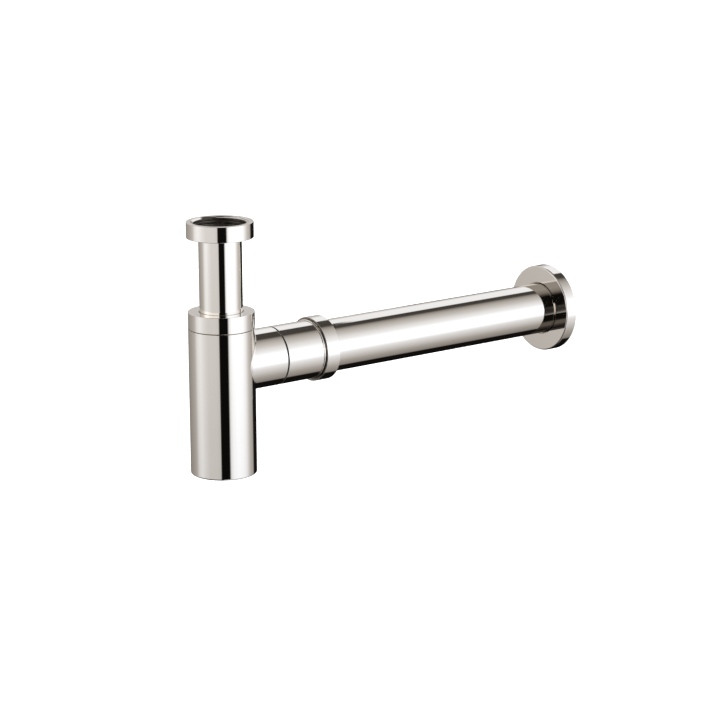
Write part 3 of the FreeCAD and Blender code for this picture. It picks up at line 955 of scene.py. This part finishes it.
def level_ramp(tree, angle, levels):
    """Coloured brightness read off a list of (degrees, level) by an angle in radians."""
    ramp = tree.nodes.new("ShaderNodeValToRGB")
    elements = ramp.color_ramp.elements
    for degrees, _ in levels[1:-1]:
        elements.new((degrees + 180) / 360)
    for element, (degrees, level) in zip(elements, levels):
        element.position = (degrees + 180) / 360
        green = level * (LEVEL_GREEN[0] + LEVEL_GREEN[1] * level)
        blue = level * (LEVEL_BLUE[0] + LEVEL_BLUE[1] * level)
        element.color = (level, green, blue, 1)
    share = math_node(tree, "ADD", math_node(tree, "DIVIDE", angle, 2 * math.pi), 0.5)
    tree.links.new(share, ramp.inputs["Fac"])
    return ramp.outputs["Color"]


def axes_of(tree, direction):
    """X, Y and Z of a direction, by letter."""
    node = tree.nodes.new("ShaderNodeSeparateXYZ")
    tree.links.new(direction, node.inputs["Vector"])
    return node.outputs


def arch_light(tree, seen, flag_side):
    """Light of the arch, and of the flag in its place on one side.

    The dark gap between the arch's panels is wider at its near end, where the angle is
    turned back by up to GAP_WIDENING before the brightness is read.
    """
    angle = math_node(tree, "ARCTAN2", seen["Z"], seen["X"])
    past_gap = smooth_step(tree, angle, *map(math.radians, GAP_FAR_EDGE))
    before_edge = smooth_step(tree, angle, *map(math.radians, GAP_NEAR_EDGE))
    widened = math_node(tree, "MULTIPLY", math_node(tree, "MULTIPLY", past_gap, before_edge),
                        smooth_step(tree, seen["Y"], *GAP_NEAR_END))
    gap_angle = math_node(tree, "MULTIPLY_ADD", widened, -math.radians(GAP_WIDENING), angle)
    arch = level_ramp(tree, gap_angle, ARCH_LEVELS)
    return mixed(tree, flag_side, arch, level_ramp(tree, angle, FLAG_LEVELS), "RGBA")


def wall_light(tree, angle, height):
    """Light of the walls, which are lit from above and so a little brighter towards the top."""
    lift = math_node(tree, "MULTIPLY_ADD", height, *WALL_LIFT)
    lift = math_node(tree, "MAXIMUM", lift, WALL_LIFT_LEAST)
    lift = math_node(tree, "MINIMUM", lift, WALL_LIFT_MOST)
    lit = tree.nodes.new("ShaderNodeVectorMath")
    lit.operation = "SCALE"
    tree.links.new(level_ramp(tree, angle, WALL_LEVELS), lit.inputs["Vector"])
    tree.links.new(lift, lit.inputs["Scale"])
    return lit.outputs["Vector"]


def wall_cover(tree, angle, seen, flag_side):
    """1 where the walls stand before the arch and the flag, and 0 above and below them.

    They reach from below the trap to a little above its height, taller at the front
    left, and further down on the sides that face along X.
    """
    left = smooth_step(tree, angle, *map(math.radians, WALL_LEFT))
    taller = math_node(tree, "MULTIPLY", math_node(tree, "MULTIPLY", left, flag_side),
                       WALL_LEFT_TALLER)
    side = smooth_step(tree, math_node(tree, "ABSOLUTE", seen["Y"]), *WALL_SIDE)
    deeper = math_node(tree, "MULTIPLY", side, WALL_SIDE_DEEPER)
    below_top = smooth_step(tree, math_node(tree, "SUBTRACT", seen["Z"], taller), *WALL_TOP)
    above_foot = smooth_step(tree, math_node(tree, "ADD", seen["Z"], deeper), *WALL_FOOT)
    return math_node(tree, "MULTIPLY", below_top, above_foot)


def studio_world():
    """White-box studio round the trap: walls and flags at its own height, panels arched over it.

    It is what the polished plate mirrors. Behind the trap the camera sees plain white.
    """
    world = bpy.data.worlds.new("studio")
    world.use_nodes = True
    tree = world.node_tree
    tree.nodes.clear()
    place = tree.nodes.new("ShaderNodeTexCoord")
    turn = tree.nodes.new("ShaderNodeVectorRotate")
    turn.rotation_type = "Z_AXIS"
    turn.inputs["Angle"].default_value = -STUDIO_TURN
    tree.links.new(place.outputs["Generated"], turn.inputs["Vector"])
    compass = axes_of(tree, turn.outputs["Vector"])
    seen = axes_of(tree, place.outputs["Generated"])

    # below the trap the walls lean, so their edges move round with depth
    lean = math_node(tree, "MAXIMUM", math_node(tree, "MULTIPLY_ADD", seen["Z"], *WALL_LEAN), 0)
    angle = math_node(tree, "ADD", math_node(tree, "ARCTAN2", compass["Y"], compass["X"]), lean)
    flag_side = smooth_step(tree, seen["Y"], *FLAG_SIDE)
    studio = mixed(tree, wall_cover(tree, angle, seen, flag_side),
                   arch_light(tree, seen, flag_side), wall_light(tree, angle, seen["Z"]), "RGBA")

    reflected = tree.nodes.new("ShaderNodeBackground")
    reflected.inputs["Strength"].default_value = STUDIO_LEVEL
    tree.links.new(studio, reflected.inputs["Color"])
    backdrop = tree.nodes.new("ShaderNodeBackground")
    backdrop.inputs["Color"].default_value = (1, 1, 1, 1)
    backdrop.inputs["Strength"].default_value = 1.0
    path = tree.nodes.new("ShaderNodeLightPath")
    chosen = tree.nodes.new("ShaderNodeMixShader")
    tree.links.new(path.outputs["Is Camera Ray"], chosen.inputs["Fac"])
    tree.links.new(reflected.outputs["Background"], chosen.inputs[1])
    tree.links.new(backdrop.outputs["Background"], chosen.inputs[2])
    output = tree.nodes.new("ShaderNodeOutputWorld")
    tree.links.new(chosen.outputs["Shader"], output.inputs["Surface"])
    bpy.context.scene.world = world


def pale_floor():
    """A wide plain floor well below the trap: the grid (x, y, height)."""
    low = cad_box[0][2] - FLOOR_DROP
    across = FLOOR_CELLS + 1
    step = np.linspace(-FLOOR_SIZE / 2, FLOOR_SIZE / 2, across)
    x, y = np.meshgrid(step, step)
    points = np.stack([x, y, np.full_like(x, low)], axis=-1).reshape(-1, 3)
    cell = np.arange(FLOOR_CELLS)
    corner = (cell[:, None] * across + cell).ravel()
    faces = np.stack([corner, corner + 1, corner + across + 1, corner + across], axis=-1)
    floor = mesh_object("floor", points, faces)
    material, tree, shader = new_material("floor_finish", (0.93, 0.93, 0.925), roughness=0.9)
    mottle = tint(tree, noise(tree, 3, 2), (0.925, 0.925, 0.92), (0.94, 0.94, 0.935))
    tree.links.new(mottle, shader.inputs["Base Color"])
    floor.data.materials.append(material)
    floor.visible_glossy = False


def soft_light(name, strength, angle, direction):
    """A wide sun that lights the floor and the rubber, and isn't mirrored in the metal."""
    light = bpy.data.lights.new(name, "SUN")
    light.energy = strength
    light.angle = math.radians(angle)
    lamp = bpy.data.objects.new(name, light)
    lamp.rotation_mode = "QUATERNION"
    lamp.rotation_quaternion = Vector(direction).to_track_quat("-Z", "Y")
    lamp.visible_glossy = False
    bpy.context.scene.collection.objects.link(lamp)


def set_camera():
    """Camera at its distance from the aim point, tipped down and rolled a hair."""
    right = Vector((math.cos(CAMERA_AZIMUTH), math.sin(CAMERA_AZIMUTH), 0))
    level = Vector((-math.sin(CAMERA_AZIMUTH), math.cos(CAMERA_AZIMUTH), 0))
    up = Vector((0, 0, 1))
    forward = level * math.cos(CAMERA_PITCH) - up * math.sin(CAMERA_PITCH)
    tipped = up * math.cos(CAMERA_PITCH) + level * math.sin(CAMERA_PITCH)
    across = right * math.cos(CAMERA_ROLL) + tipped * math.sin(CAMERA_ROLL)
    upright = tipped * math.cos(CAMERA_ROLL) - right * math.sin(CAMERA_ROLL)
    data = bpy.data.cameras.new("camera")
    data.sensor_width = CAMERA_SENSOR_MM
    data.lens = CAMERA_LENS_MM
    data.clip_end = CAMERA_SEES_TO
    camera = bpy.data.objects.new("camera", data)
    turn = Matrix((across, upright, -forward)).transposed().to_4x4()
    spot = Vector(CAMERA_AIM) - forward * CAMERA_DISTANCE
    camera.matrix_world = Matrix.Translation(spot) @ turn
    bpy.context.scene.collection.objects.link(camera)
    bpy.context.scene.camera = camera


studio_world()
pale_floor()
soft_light("overhead_light", strength=3.4, angle=60, direction=(0.15, 0.1, -1))
soft_light("front_light", strength=1.2, angle=40, direction=(-0.7, 0.5, -0.5))
set_camera()
bpy.context.scene.view_settings.view_transform = "Standard"
